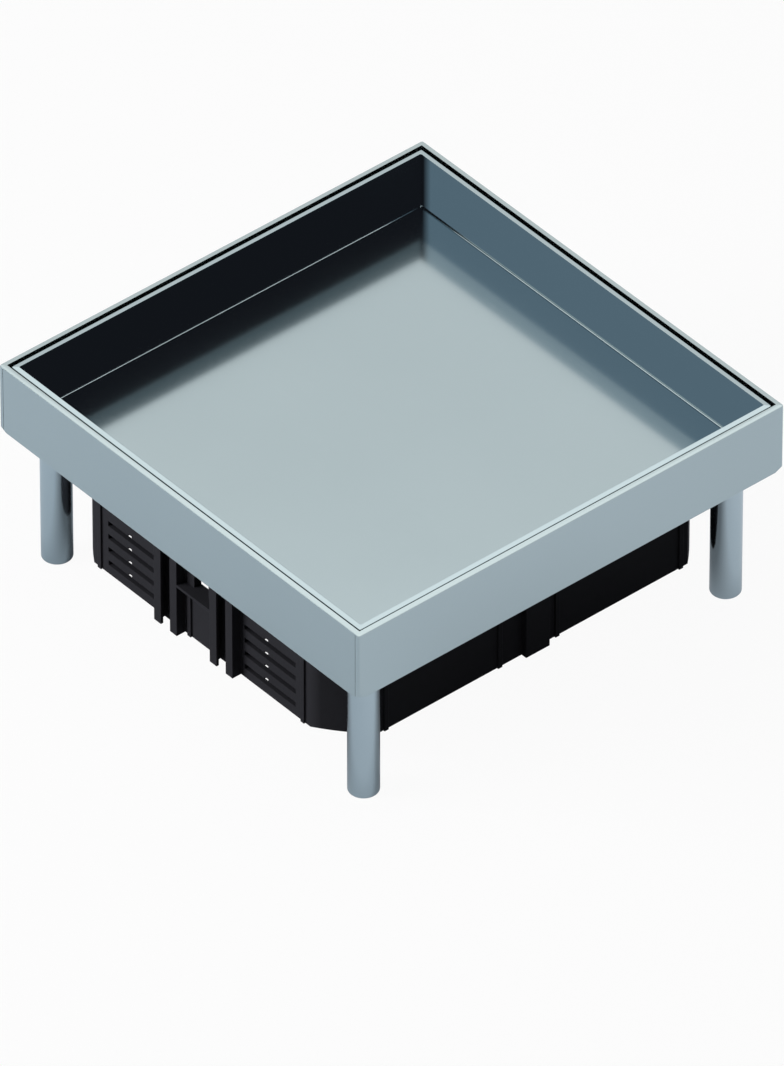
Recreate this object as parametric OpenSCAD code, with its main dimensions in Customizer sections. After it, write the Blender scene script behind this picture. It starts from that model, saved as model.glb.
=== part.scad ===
// In-floor service box: a square frame with a recessed lid tray, on four levelling legs,
// with a device carrier hung below. The model stands on its leg ends, centred on the origin.

/* [Frame] */
// Outer side of the square frame
frame_side = 243; // [236:1:300]
// Width of the frame's wall and flat rim
frame_wall = 2.5; // [2:0.1:4]
// Radius of the frame's upright corners
frame_corner_r = 1; // [0.8:0.1:3]
// Radius of the frame's outer top edge
frame_edge_r = 0.4; // [0.2:0.1:0.8]
// Outer radius of the fold between wall and ledge
frame_fold_r = 0.5; // [0.2:0.1:0.8]
// Height of the clip across each lower corner
clip_h = 2.3; // [1:0.1:6]
// Length of the clip along each side
clip_len = 5; // [1:0.1:8]
// Thickness of the ledge under the lid tray
ledge_t = 2.5; // [1:0.1:3]
// How far the ledge reaches in over the carrier's end walls
ledge_end_lap = 12.4; // [6:0.1:16]
// How far the ledge reaches in over the carrier's side walls
ledge_side_lap = 9.9; // [4:0.1:12]
// Leg of the gussets in the corners of the ledge opening
gusset_leg = 22; // [20:0.5:30]

/* [Lid tray] */
// Gap between the frame and the lid tray
tray_gap = 1.3; // [0.5:0.1:2]
// How far the tray's rim lies below the frame's rim
tray_drop = 0.6; // [0:0.1:3]
// Sheet thickness of the tray
tray_sheet = 1.2; // [0.8:0.1:2]
// Width of the folded double rim
tray_rim_w = 2.4; // [2:0.1:4]
// Height of the folded double rim
tray_rim_h = 10; // [4:0.5:20]
// Radius of the rim's outer top edge
tray_rim_r = 0.4; // [0.2:0.1:0.6]
// Radius of the rim's upright corners
rim_corner_r = 0.8; // [0.7:0.1:2]
// Depth of the tray from its rim to its floor
tray_depth = 30; // [15:0.2:60]
// Inner radius of the tray's folds
tray_fold_r = 1.2; // [0.6:0.1:1.4]
// Inner radius of the tray's upright corners
tray_corner_r = 1.5; // [1.3:0.1:4]
// Thickness of the seal under the tray
seal_t = 2.1; // [1:0.1:4]
// Width of the seal under the tray
seal_w = 4; // [3:0.1:5]

/* [Legs] */
// Length of the legs below the frame
leg_len = 70; // [62:0.5:120]
// Outer diameter of the legs
leg_d = 14.4; // [13.6:0.1:17]
// Wall of the legs
leg_wall = 2; // [1.5:0.1:2.1]
// From the frame's outer face to the axis of a leg
leg_inset = 17.3; // [15:0.1:18]
// Radius of the outer edge at a leg's lower end
leg_end_r = 0.8; // [0.2:0.1:1.2]
// Diameter of the key holes above the legs
key_hole_d = 6; // [5:0.1:6.4]
// Length of the threaded bush in a leg
bush_len = 12; // [8:0.5:18]
// Clearance between bush and leg, each side
bush_fit = 0.02; // [0.01:0.01:0.05]
// Outer diameter of the levelling spindle
spindle_d = 8; // [6:0.5:8]
// Length of the levelling spindle above its foot
spindle_len = 46; // [44:0.5:54]
// Running clearance of the spindle, each side
spindle_fit = 0.05; // [0.02:0.01:0.1]
// Chamfer at the spindle's upper end
spindle_edge = 0.6; // [0.2:0.1:1]
// Size of the spindle's hexagon socket across corners
socket_d = 4.6; // [3:0.1:5]
// Depth of the spindle's socket
socket_depth = 5; // [3:0.5:8]
// Diameter of the spindle's neck
neck_d = 4; // [3:0.1:5]
// Length of the spindle's neck
neck_len = 2; // [1.5:0.1:2.4]
// Height of the foot
foot_h = 3; // [2.8:0.1:6]
// Rounding of the foot's lower edge
foot_edge = 0.4; // [0.2:0.1:0.8]
// Gap between foot and leg, each side
foot_gap = 0.4; // [0.3:0.05:0.8]
// Gap between foot and bush with the foot drawn in
foot_stop_gap = 0.3; // [0.3:0.1:1]
// Gap between foot and spindle
foot_play = 0.1; // [0.05:0.05:0.3]

/* [Carrier] */
// Height of the carrier below the frame
carrier_h = 52.5; // [48:0.5:60]
// Wall of the carrier
carrier_wall = 2.5; // [1.5:0.1:2.5]
// From the frame's inner face to the carrier's end walls
carrier_end_gap = 10.6; // [8:0.1:12]
// From the frame's inner face to the carrier's side walls
carrier_side_gap = 23.1; // [23:0.1:27]
// Width of the corner cuts, taken off the end walls
corner_cut_x = 22.5; // [18:0.1:23]
// Length of the corner cuts, taken off the side walls
corner_cut_y = 19.2; // [17:0.1:22]
// Radius of the bowed corner walls
corner_bow_r = 120; // [60:1:200]
// Width of the small upright ribs
rib_w = 2.4; // [0.8:0.1:3]
// How far the small upright ribs stand proud
rib_proud = 0.9; // [0.4:0.1:2]
// From a wall's edge to its outer rib
rib_inset = 4.5; // [2:0.1:6]
// From the middle of the end wall to its inner ribs
bay_rib_x = 7.7; // [6:0.1:9]
// From the middle of the side wall to the rib on its front side
side_rib_front = 19.7; // [12:0.1:30]
// From the middle of the side wall to the rib on its back side
side_rib_back = 13.2; // [12:0.1:30]
// Width of the pads on the side walls
pad_w = 13.6; // [8:0.1:20]
// How far the pads stand proud
pad_proud = 3.1; // [1:0.1:4]

/* [Carrier channels] */
// From the middle of the end wall to the axis of a channel
channel_x = 18.9; // [18:0.1:20]
// Outer width of a channel
channel_w = 15.5; // [14:0.1:16]
// How far a channel stands proud
channel_proud = 4.9; // [4.5:0.1:5.5]
// Side walls of a channel
channel_wall = 1.6; // [1:0.1:2]
// Thickness of the lips
lip_t = 1.45; // [1:0.05:2]
// Width of the mouth between the lips
mouth_w = 6.1; // [5:0.1:8]
// How far the channels stop below the frame
channel_top_gap = 1; // [0.5:0.1:4]

/* [Carrier slots] */
// From the middle of the end wall to the nearer end of the slots
slot_x = 29; // [28:0.1:32]
// Length of the slots
slot_len = 34.5; // [24:0.1:34.5]
// Height of the slots
slot_h = 2.8; // [1.5:0.1:3]
// From the carrier's lower edge to the middle of the lowest slot
slot_first = 6.2; // [4:0.1:9]
// Distance between the slots
slot_pitch = 7.4; // [6:0.1:8]
// Number of slots, one above the other
slot_rows = 4; // [1:1:4]
// Width of the catch holes
catch_w = 2.3; // [2:0.1:6]
// Height of the catch holes
catch_h = 2.4; // [2:0.1:4.5]
// From the slot's middle up to the middle of its catch hole
catch_rise = 1.3; // [0:0.05:2]
// From the slot's middle sideways to the middle of its catch hole
catch_shift = 2.4; // [0:0.1:4]

/* [Carrier window] */
// Width of the cable window in the end wall
window_w = 9.6; // [6:0.1:11]
// From the frame down to the cable window
window_drop = 5.4; // [4:0.1:14]
// Extra thickness of the wall around the window
window_frame_t = 1.6; // [1:0.1:3]
// Width of that thicker frame
window_frame_w = 3; // [1.5:0.1:4]
// From the carrier's lower edge to the underside of the sill
sill_z = 27.7; // [16:0.1:28]
// Thickness of the sill
sill_t = 1.4; // [1:0.1:2]

/* [Device supports] */
// From the carrier's side wall in to a support
support_side_gap = 20.9; // [18:0.1:24]
// Width of a support
support_w = 58; // [52:0.5:60]
// Sheet thickness of the supports
support_t = 1.5; // [1:0.1:2]
// Depth of the folded edges of a support
support_fold = 6; // [3:0.5:8]
// From the frame down to the supports
support_drop = 10.5; // [9.5:0.5:14]
// Gap between a support and the end walls
support_end_gap = 1; // [0.5:0.1:1.5]
// Side of a square device opening
device_opening = 45.5; // [40:0.5:46]
// Bar between two device openings
device_bar = 8; // [5:0.5:10]
// Number of device openings in a support
device_count = 3; // [1:1:3]
// Width of the lugs that carry a support
lug_w = 12; // [10:0.5:16]
// How far a lug reaches in from the wall
lug_reach = 9; // [8.4:0.1:12]
// Height of a lug
lug_h = 5; // [4:0.5:6]
// From the end wall to the axis of a support screw
support_screw_in = 4.6; // [4.3:0.1:5]

/* [Fasteners] */
// Diameter of the support screws
support_screw_d = 3; // [2.5:0.1:3.5]
// Length of a support screw below its head
support_screw_len = 6; // [5:0.5:7]
// Diameter of a support screw's head
screw_head_d = 6; // [5:0.1:7]
// Height of a support screw's head
screw_head_h = 2; // [1:0.1:2.4]
// Width of the cross slot in a screw's head
screw_slot_w = 0.9; // [0.5:0.1:1.2]
// Length of the cross slot in a screw's head
screw_slot_len = 3.6; // [2:0.1:4.4]
// Depth of the cross slot in a screw's head
screw_slot_depth = 1; // [0.4:0.1:1]
// Clearance of screws and studs in their holes, each side
hole_fit = 0.25; // [0.1:0.05:0.5]
// Clearance of threads, each side
thread_fit = 0.02; // [0.01:0.01:0.05]
// From the carrier's side wall to the axis of a fixing stud
fixing_in_x = 10; // [9.5:0.1:11]
// From the carrier's end wall to the axis of a fixing stud
fixing_in_y = 19.4; // [18:0.1:22]
// Diameter of the fixing studs
stud_d = 4; // [3:0.5:5]
// Length of the fixing studs
stud_len = 11; // [10:0.5:16]
// Radius of the carrier's fixing tabs
tab_r = 6; // [5:0.1:7]
// Thickness of the carrier's fixing tabs
tab_t = 3; // [2:0.1:4]
// Diameter of the fixing washers
washer_d = 9; // [8:0.1:10]
// Thickness of the fixing washers
washer_t = 0.8; // [0.5:0.1:1.2]
// Size of the fixing nuts across corners
nut_d = 8; // [7:0.1:9]
// Height of the fixing nuts
nut_h = 3.2; // [2.5:0.1:4]

/* [Earth connection] */
// From the middle of the frame towards the front to the earth stud
earth_front = 45; // [30:1:70]
// From the frame's inner face to the axis of the earth stud
earth_in = 13; // [10:0.1:15]
// Diameter of the earth stud
earth_d = 5; // [4:0.5:6]
// Length of the earth stud
earth_len = 12; // [10:0.5:16]
// Diameter of the earth washers
earth_washer_d = 10; // [9:0.1:12]
// Thickness of an earth washer
earth_washer_t = 1; // [0.6:0.1:1.4]
// Gap that the terminal takes between the two washers
earth_clamp_gap = 0.8; // [0.5:0.1:1.5]
// Size of the earth nut across corners
earth_nut_d = 9.2; // [8:0.1:11]
// Height of the earth nut
earth_nut_h = 4.5; // [3:0.1:5]

/* [Hidden] */

$fn = 48;
steel = [0.66, 0.7, 0.71];
zinc = [0.74, 0.75, 0.76];
brass = [0.78, 0.63, 0.33];
black_plastic = [0.13, 0.13, 0.14];
black_rubber = [0.07, 0.07, 0.07];

// A cut starts and ends this far past the faces that it goes through
over = 1;
// Heights, counted up from the leg ends
frame_h = ledge_t + seal_t + tray_sheet + tray_depth + tray_drop;
ledge_top = leg_len + ledge_t;
frame_top = leg_len + frame_h;
tray_bottom = ledge_top + seal_t;
tray_floor = tray_bottom + tray_sheet;
tray_top = frame_top - tray_drop;
carrier_bottom = leg_len - carrier_h;
tray_fold_out = tray_fold_r + tray_sheet;
tray_corner_out = tray_corner_r + tray_sheet;
// Half widths, counted out from the middle
frame_half = frame_side / 2;
frame_in = frame_half - frame_wall;
tray_half = frame_in - tray_gap;
tray_in = tray_half - tray_rim_w;
tray_low_half = tray_in + tray_sheet;
seal_half = tray_low_half - tray_fold_out;
carrier_x = frame_in - carrier_side_gap;
carrier_y = frame_in - carrier_end_gap;
flat_x = carrier_x - corner_cut_x;
flat_y = carrier_y - corner_cut_y;
opening_x = carrier_x - ledge_side_lap;
opening_y = carrier_y - ledge_end_lap;
leg_at = frame_half - leg_inset;
fixing_x = carrier_x - fixing_in_x;
fixing_y = carrier_y - fixing_in_y;
earth_x = frame_in - earth_in;
// Centre of a bowed corner, from the ends of its arc
chord = norm([corner_cut_x, corner_cut_y]);
bow_rise = sqrt(corner_bow_r * corner_bow_r - chord * chord / 4);
bow_x = (flat_x + carrier_x) / 2 - bow_rise * corner_cut_y / chord;
bow_y = (flat_y + carrier_y) / 2 - bow_rise * corner_cut_x / chord;
// Legs
leg_bore_r = leg_d / 2 - leg_wall;
bush_bottom = foot_h + foot_stop_gap;
spindle_bottom = foot_h + foot_play;
thread_r = spindle_d / 2 + spindle_fit;
// Cable windows
sill_bottom = carrier_bottom + sill_z;
sill_top = sill_bottom + sill_t;
window_top = leg_len - window_drop;
// Supports
support_top = leg_len - support_drop;
support_bottom = support_top - support_t;
support_half = carrier_y - carrier_wall - support_end_gap;
support_x = carrier_x - support_side_gap - support_w / 2;
support_screw_y = carrier_y - carrier_wall - support_screw_in;
device_pitch = device_opening + device_bar;

// Two corners on a diagonal, then the other two, as signs along X and Y
corners = [[-1, -1], [1, -1], [-1, 1], [1, 1]];

// What a square corner loses when it is rounded; dx and dz point into the shape
module corner_loss(r, dx, dz) {
  if (r > 0)
    difference() {
      translate([dx > 0 ? 0 : -r, dz > 0 ? 0 : -r])
        square(r);
      translate([dx * r, dz * r])
        circle(r);
    }
}

// Upright section of a block, rounded by rb below and rt above
module block_section(half, z0, z1, rb, rt) {
  difference() {
    translate([-half, z0])
      square([2 * half, z1 - z0]);
    for (side = [-1, 1]) {
      translate([side * half, z0])
        corner_loss(rb, -side, 1);
      translate([side * half, z1])
        corner_loss(rt, -side, -1);
    }
  }
}

// Square block with upright corners of radius rc and edges rounded below and above
module soft_block(half, z0, z1, rc, rb, rt) {
  reach = 2 * (half - rc);
  rotate([90, 0, 0])
    linear_extrude(reach, center = true)
      block_section(half, z0, z1, rb, rt);
  rotate([90, 0, 90])
    linear_extrude(reach, center = true)
      block_section(half, z0, z1, rb, rt);
  for (c = corners)
    translate([c[0] * (half - rc), c[1] * (half - rc), 0])
      rotate_extrude()
        intersection() {
          block_section(rc, z0, z1, rb, rt);
          translate([0, z0])
            square([rc, z1 - z0]);
        }
}

module square_hole(half, z0, z1) {
  translate([-half, -half, z0])
    cube([2 * half, 2 * half, z1 - z0]);
}

module ring(r_out, r_in, z0, z1) {
  translate([0, 0, z0])
    difference() {
      cylinder(r = r_out, h = z1 - z0);
      translate([0, 0, -over])
        cylinder(r = r_in, h = z1 - z0 + 2 * over);
    }
}

module hex_nut(across, bore_r, z0, z1) {
  translate([0, 0, z0])
    difference() {
      cylinder(d = across, h = z1 - z0, $fn = 6);
      translate([0, 0, -over])
        cylinder(r = bore_r, h = z1 - z0 + 2 * over);
    }
}

module at_corners(x, y) {
  for (c = corners)
    translate([c[0] * x, c[1] * y, 0])
      children();
}

// Frame: upright wall, ledge with a gusseted opening, clipped lower corners
module ledge_opening() {
  polygon([
    [opening_x - gusset_leg, -opening_y], [opening_x, -opening_y + gusset_leg],
    [opening_x, opening_y - gusset_leg], [opening_x - gusset_leg, opening_y],
    [-opening_x + gusset_leg, opening_y], [-opening_x, opening_y - gusset_leg],
    [-opening_x, -opening_y + gusset_leg], [-opening_x + gusset_leg, -opening_y]
  ]);
}

module corner_clip() {
  back = clip_len / sqrt(2);
  slope = atan(clip_h / back);
  size = 4 * (clip_len + clip_h);
  for (turn = [45:90:315])
    rotate([0, 0, turn])
      translate([frame_half * sqrt(2) - back, 0, leg_len])
        rotate([0, -slope, 0])
          translate([0, -size / 2, -size])
            cube(size);
}

module frame() {
  color(steel)
    difference() {
      soft_block(frame_half, leg_len, frame_top, frame_corner_r, frame_fold_r, frame_edge_r);
      square_hole(frame_in, ledge_top, frame_top + over);
      translate([0, 0, leg_len - over])
        linear_extrude(ledge_t + 2 * over)
          ledge_opening();
      at_corners(leg_at, leg_at)
        translate([0, 0, leg_len - over])
          cylinder(d = key_hole_d, h = ledge_t + 2 * over);
      corner_clip();
    }
}

// Lid tray: folded sheet pan with a double rim
module lid_tray() {
  color(steel)
    difference() {
      union() {
        soft_block(tray_low_half, tray_bottom, tray_top - tray_rim_r, tray_corner_out, tray_fold_out, 0);
        soft_block(tray_half, tray_top - tray_rim_h, tray_top, rim_corner_r, 0, tray_rim_r);
      }
      soft_block(tray_in, tray_floor, tray_top + over, tray_corner_r, tray_fold_r, 0);
    }
}

module tray_seal() {
  color(black_rubber)
    difference() {
      square_hole(seal_half, ledge_top, tray_bottom);
      square_hole(seal_half - seal_w, ledge_top - over, tray_bottom + over);
    }
}

// Carrier outline, drawn in by inset
module carrier_outline(inset) {
  difference() {
    square([2 * (carrier_x - inset), 2 * (carrier_y - inset)], center = true);
    for (c = corners)
      scale([c[0], c[1]])
        translate([bow_x, bow_y])
          difference() {
            square(2 * corner_bow_r);
            circle(r = corner_bow_r - inset, $fn = 240);
          }
  }
}

// A bar on the outside of the front wall, between two heights
module front_bar(x, w, proud, z0, z1) {
  translate([x - w / 2, -carrier_y - proud, z0])
    cube([w, proud + carrier_wall / 2, z1 - z0]);
}

// The same on the right wall
module right_bar(y, w, proud, z0, z1) {
  translate([carrier_x - carrier_wall / 2, y - w / 2, z0])
    cube([proud + carrier_wall / 2, w, z1 - z0]);
}

module channel_body(z1) {
  for (side = [-1, 1])
    front_bar(side * channel_x, channel_w, channel_proud, carrier_bottom, z1);
}

module channel_hollow(z1) {
  cavity_w = channel_w - 2 * channel_wall;
  for (side = [-1, 1])
    translate([side * channel_x, -carrier_y, carrier_bottom - over]) {
      translate([-cavity_w / 2, -channel_proud + lip_t, 0])
        cube([cavity_w, channel_proud - lip_t, z1 - carrier_bottom + 2 * over]);
      translate([-mouth_w / 2, -channel_proud - over, 0])
        cube([mouth_w, channel_proud + over, z1 - carrier_bottom + 2 * over]);
    }
}

// What stands on one end wall, drawn for the front
module end_details() {
  top = leg_len - channel_top_gap;
  bay_w = 2 * channel_x - channel_w + channel_wall;
  difference() {
    channel_body(top);
    channel_hollow(top);
  }
  for (side = [-1, 1]) {
    front_bar(side * (flat_x - rib_inset), rib_w, rib_proud, carrier_bottom, top);
    front_bar(side * bay_rib_x, rib_w, rib_proud, carrier_bottom, sill_bottom + sill_t / 2);
  }
  front_bar(0, bay_w, channel_proud, sill_bottom, sill_top);
  translate([-window_w / 2 - window_frame_w, -carrier_y + carrier_wall / 2, sill_bottom])
    cube([
      window_w + 2 * window_frame_w,
      carrier_wall / 2 + window_frame_t,
      window_top + window_frame_w - sill_bottom
    ]);
  for (side = [-1, 1])
    translate([side * support_x - lug_w / 2, -carrier_y + carrier_wall / 2, support_bottom - lug_h])
      cube([lug_w, carrier_wall / 2 + lug_reach, lug_h]);
}

// What is cut through one end wall, drawn for the front
module end_cuts() {
  depth = carrier_wall + 2 * over;
  for (side = [-1, 1], row = [0:slot_rows - 1]) {
    slot_mid = side * (slot_x + slot_len / 2);
    z = carrier_bottom + slot_first + row * slot_pitch;
    translate([slot_mid - slot_len / 2, -carrier_y - over, z - slot_h / 2])
      cube([slot_len, depth, slot_h]);
    translate([slot_mid - catch_shift - catch_w / 2, -carrier_y - over, z + catch_rise - catch_h / 2])
      cube([catch_w, depth, catch_h]);
  }
  translate([-window_w / 2, -carrier_y - over, sill_top])
    cube([window_w, depth + window_frame_t, window_top - sill_top]);
  for (side = [-1, 1])
    translate([side * support_x, -support_screw_y, support_bottom - lug_h - over])
      cylinder(d = support_screw_d + 2 * thread_fit, h = lug_h + 2 * over);
}

// What stands on one side wall, drawn for the right
module side_details() {
  right_bar(0, pad_w, pad_proud, carrier_bottom, leg_len);
  for (y = [-side_rib_front, side_rib_back, rib_inset - flat_y, flat_y - rib_inset])
    right_bar(y, rib_w, rib_proud, carrier_bottom, leg_len);
}

module carrier() {
  color(black_plastic)
    difference() {
      union() {
        translate([0, 0, carrier_bottom])
          linear_extrude(carrier_h)
            difference() {
              carrier_outline(0);
              carrier_outline(carrier_wall);
            }
        translate([0, 0, leg_len - tab_t])
          linear_extrude(tab_t)
            intersection() {
              carrier_outline(carrier_wall / 2);
              at_corners(fixing_x, fixing_y)
                circle(tab_r);
            }
        for (turn = [0, 180])
          rotate([0, 0, turn]) {
            end_details();
            side_details();
          }
      }
      for (turn = [0, 180])
        rotate([0, 0, turn])
          end_cuts();
      at_corners(fixing_x, fixing_y)
        translate([0, 0, leg_len - tab_t - over])
          cylinder(d = stud_d + 2 * hole_fit, h = tab_t + 2 * over);
    }
}

// Device support: sheet strip with folded edges and square openings
module device_support(side) {
  first_y = -(device_count - 1) * device_pitch / 2 - device_opening / 2;
  inner_w = support_w - 2 * support_t;
  color(zinc)
    translate([side * support_x, 0, 0])
      difference() {
        translate([-support_w / 2, -support_half, support_top - support_fold])
          cube([support_w, 2 * support_half, support_fold]);
        translate([-inner_w / 2, -support_half - over, support_top - support_fold - over])
          cube([inner_w, 2 * (support_half + over), support_fold - support_t + over]);
        for (i = [0:device_count - 1])
          translate([-device_opening / 2, first_y + i * device_pitch, support_bottom - over])
            cube([device_opening, device_opening, support_t + 2 * over]);
        for (end = [-1, 1])
          translate([0, end * support_screw_y, support_bottom - over])
            cylinder(d = support_screw_d + 2 * hole_fit, h = support_t + 2 * over);
      }
}

module support_screws() {
  color(zinc)
    at_corners(support_x, support_screw_y) {
      translate([0, 0, support_top - support_screw_len])
        cylinder(d = support_screw_d, h = support_screw_len);
      difference() {
        translate([0, 0, support_top])
          cylinder(d = screw_head_d, h = screw_head_h);
        for (turn = [0, 90])
          rotate([0, 0, turn])
            translate([-screw_slot_len / 2, -screw_slot_w / 2, support_top + screw_head_h - screw_slot_depth])
              cube([screw_slot_len, screw_slot_w, screw_slot_depth + over]);
      }
    }
}

// Fasteners that hold the carrier under the ledge
module fixing_studs() {
  color(zinc)
    at_corners(fixing_x, fixing_y)
      translate([0, 0, leg_len - stud_len])
        cylinder(d = stud_d, h = stud_len);
}

module fixing_washers() {
  z1 = leg_len - tab_t;
  color(zinc)
    at_corners(fixing_x, fixing_y)
      ring(washer_d / 2, stud_d / 2 + hole_fit, z1 - washer_t, z1);
}

module fixing_nuts() {
  z1 = leg_len - tab_t - washer_t;
  color(zinc)
    at_corners(fixing_x, fixing_y)
      hex_nut(nut_d, stud_d / 2 + thread_fit, z1 - nut_h, z1);
}

// Earth connection under the ledge, on the right
module at_earth() {
  translate([earth_x, -earth_front, leg_len])
    children();
}

module earth_stud() {
  color(brass)
    at_earth()
      translate([0, 0, -earth_len])
        cylinder(d = earth_d, h = earth_len);
}

module earth_washers() {
  bore_r = earth_d / 2 + hole_fit;
  second = -earth_washer_t - earth_clamp_gap;
  color(brass)
    at_earth() {
      ring(earth_washer_d / 2, bore_r, -earth_washer_t, 0);
      ring(earth_washer_d / 2, bore_r, second - earth_washer_t, second);
    }
}

module earth_nut() {
  top = -2 * earth_washer_t - earth_clamp_gap;
  color(brass)
    at_earth()
      hex_nut(earth_nut_d, earth_d / 2 + thread_fit, top - earth_nut_h, top);
}

// Legs: tube, threaded bush, spindle and foot, each drawn on its own axis
module at_leg(c) {
  translate([c[0] * leg_at, c[1] * leg_at, 0])
    children();
}

module leg(c) {
  color(steel)
    at_leg(c)
      rotate_extrude()
        difference() {
          translate([leg_bore_r, 0])
            square([leg_wall, leg_len]);
          translate([leg_d / 2, 0])
            corner_loss(leg_end_r, -1, 1);
        }
}

module leg_bushes() {
  color(brass)
    at_corners(leg_at, leg_at)
      ring(leg_bore_r - bush_fit, thread_r, bush_bottom, bush_bottom + bush_len);
}

module spindle(c) {
  top = spindle_bottom + spindle_len;
  color(zinc)
    at_leg(c)
      difference() {
        union() {
          translate([0, 0, spindle_bottom - neck_len])
            cylinder(d = neck_d, h = neck_len + over);
          translate([0, 0, spindle_bottom])
            cylinder(d = spindle_d, h = spindle_len - spindle_edge);
          translate([0, 0, top - spindle_edge])
            cylinder(d1 = spindle_d, d2 = spindle_d - 2 * spindle_edge, h = spindle_edge);
        }
        translate([0, 0, top - socket_depth])
          cylinder(d = socket_d, h = socket_depth + over, $fn = 6);
      }
}

module foot(c) {
  foot_r = leg_bore_r - foot_gap;
  color(black_plastic)
    at_leg(c)
      difference() {
        rotate_extrude()
          difference() {
            square([foot_r, foot_h]);
            translate([foot_r, 0])
              corner_loss(foot_edge, -1, 1);
          }
        translate([0, 0, spindle_bottom - neck_len - foot_play])
          cylinder(r = neck_d / 2 + spindle_fit, h = neck_len + over);
      }
}

frame();
lid_tray();
tray_seal();
carrier();
device_support(-1);  // device_support_left
device_support(1);  // device_support_right
support_screws();
fixing_studs();
fixing_washers();
fixing_nuts();
earth_stud();
earth_washers();
earth_nut();
leg(corners[0]);  // leg_front_left
leg(corners[1]);  // leg_front_right
leg(corners[2]);  // leg_back_left
leg(corners[3]);  // leg_back_right
leg_bushes();
spindle(corners[0]);  // spindle_front_left
spindle(corners[1]);  // spindle_front_right
spindle(corners[2]);  // spindle_back_left
spindle(corners[3]);  // spindle_back_right
foot(corners[0]);  // foot_front_left
foot(corners[1]);  // foot_front_right
foot(corners[2]);  // foot_back_left
foot(corners[3]);  // foot_back_right
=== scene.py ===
import math

import bmesh
import bpy
from mathutils import Matrix, Vector


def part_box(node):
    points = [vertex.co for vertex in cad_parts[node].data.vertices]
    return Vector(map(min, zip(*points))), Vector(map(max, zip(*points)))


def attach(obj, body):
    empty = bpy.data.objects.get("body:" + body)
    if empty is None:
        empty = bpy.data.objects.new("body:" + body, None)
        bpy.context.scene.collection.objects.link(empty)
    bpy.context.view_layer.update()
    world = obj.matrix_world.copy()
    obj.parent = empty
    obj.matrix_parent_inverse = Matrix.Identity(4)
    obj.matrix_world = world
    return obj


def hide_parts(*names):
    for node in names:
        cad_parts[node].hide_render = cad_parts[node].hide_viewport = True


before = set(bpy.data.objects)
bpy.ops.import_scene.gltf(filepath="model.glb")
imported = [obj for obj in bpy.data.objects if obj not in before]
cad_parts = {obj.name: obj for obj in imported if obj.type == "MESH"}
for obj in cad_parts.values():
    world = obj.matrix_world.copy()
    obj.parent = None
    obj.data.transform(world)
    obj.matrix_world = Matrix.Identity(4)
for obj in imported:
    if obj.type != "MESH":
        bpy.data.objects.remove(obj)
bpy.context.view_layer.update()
mm = 0.001
scene = bpy.context.scene
signs = {"front_left": (-1, -1), "front_right": (1, -1), "back_left": (-1, 1), "back_right": (1, 1)}
print("frame loaded,", len(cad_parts), "nodes")


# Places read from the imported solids, in millimetres
def low(node):
    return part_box(node)[0] / mm


def high(node):
    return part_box(node)[1] / mm


def zSpan(node):
    return low(node).z, high(node).z


def oneCentre(node):
    middle = (low(node) + high(node)) / 2
    return [(middle.x, middle.y)]


def fourCentres(node, radius):
    x, y = high(node).x - radius, high(node).y - radius
    return [(sx * x, sy * y) for sx, sy in signs.values()]


frameHalf, frameTop, frameBottom = high("frame").x, high("frame").z, low("frame").z
rimHalf, trayTop, trayBottom = high("lid_tray").x, high("lid_tray").z, low("lid_tray").z
legCentre = (low("leg_front_right").x + high("leg_front_right").x) / 2
legRadius = high("leg_front_right").x - legCentre
ledgeTop = low("tray_seal").z


# Camera, fitted to the frame's rim lines
cameraSet = {
    "azimuth": 49.627, "elevation": 39.622, "distance": 8918.8, "lens": 687.83,
    "aim": (0, 0, 54), "right": -0.427, "up": 24.366, "sensor": 36, "clip": (1, 30),
}


def addCamera():
    s = cameraSet
    az, el = math.radians(s["azimuth"]), math.radians(s["elevation"])
    right = Vector((math.cos(az), math.sin(az), 0))
    ahead = Vector((-math.sin(az) * math.cos(el), math.cos(az) * math.cos(el), -math.sin(el)))
    up = right.cross(ahead)
    place = Vector(s["aim"]) - right * s["right"] - up * s["up"] - ahead * s["distance"]
    data = bpy.data.cameras.new("photoCamera")
    data.lens, data.sensor_width = s["lens"], s["sensor"]
    data.clip_start, data.clip_end = s["clip"]
    cam = bpy.data.objects.new("photoCamera", data)
    cam.matrix_world = Matrix.Translation(place * mm) @ Matrix((right, up, -ahead)).transposed().to_4x4()
    scene.collection.objects.link(cam)
    scene.camera = cam


addCamera()
print("camera placed")


# Node helpers for the materials
def newMaterial(name):
    material = bpy.data.materials.new(name)
    material.use_nodes = True
    tree = material.node_tree
    shader = tree.nodes["Principled BSDF"]
    return material, tree, shader


def addNode(tree, kind, **inputs):
    node = tree.nodes.new(kind)
    for key, value in inputs.items():
        node.inputs[key].default_value = value
    return node


def objectCoords(tree, stretch=(1, 1, 1)):
    coords = tree.nodes.new("ShaderNodeTexCoord")
    mapping = addNode(tree, "ShaderNodeMapping", Scale=stretch)
    tree.links.new(coords.outputs["Object"], mapping.inputs["Vector"])
    return mapping.outputs["Vector"]


def placeAlong(tree, *axes):
    split = tree.nodes.new("ShaderNodeSeparateXYZ")
    tree.links.new(objectCoords(tree), split.inputs["Vector"])
    return [split.outputs[axis] for axis in axes]


def noise(tree, vector, scale, detail, roughness=0.5):
    node = addNode(tree, "ShaderNodeTexNoise", Scale=scale, Detail=detail, Roughness=roughness)
    tree.links.new(vector, node.inputs["Vector"])
    return node.outputs["Fac"]


def ranged(tree, value, fromLow, fromHigh, toLow, toHigh):
    ends = {"From Min": fromLow, "From Max": fromHigh, "To Min": toLow, "To Max": toHigh}
    node = addNode(tree, "ShaderNodeMapRange", **ends)
    tree.links.new(value, node.inputs["Value"])
    return node.outputs["Result"]


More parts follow.
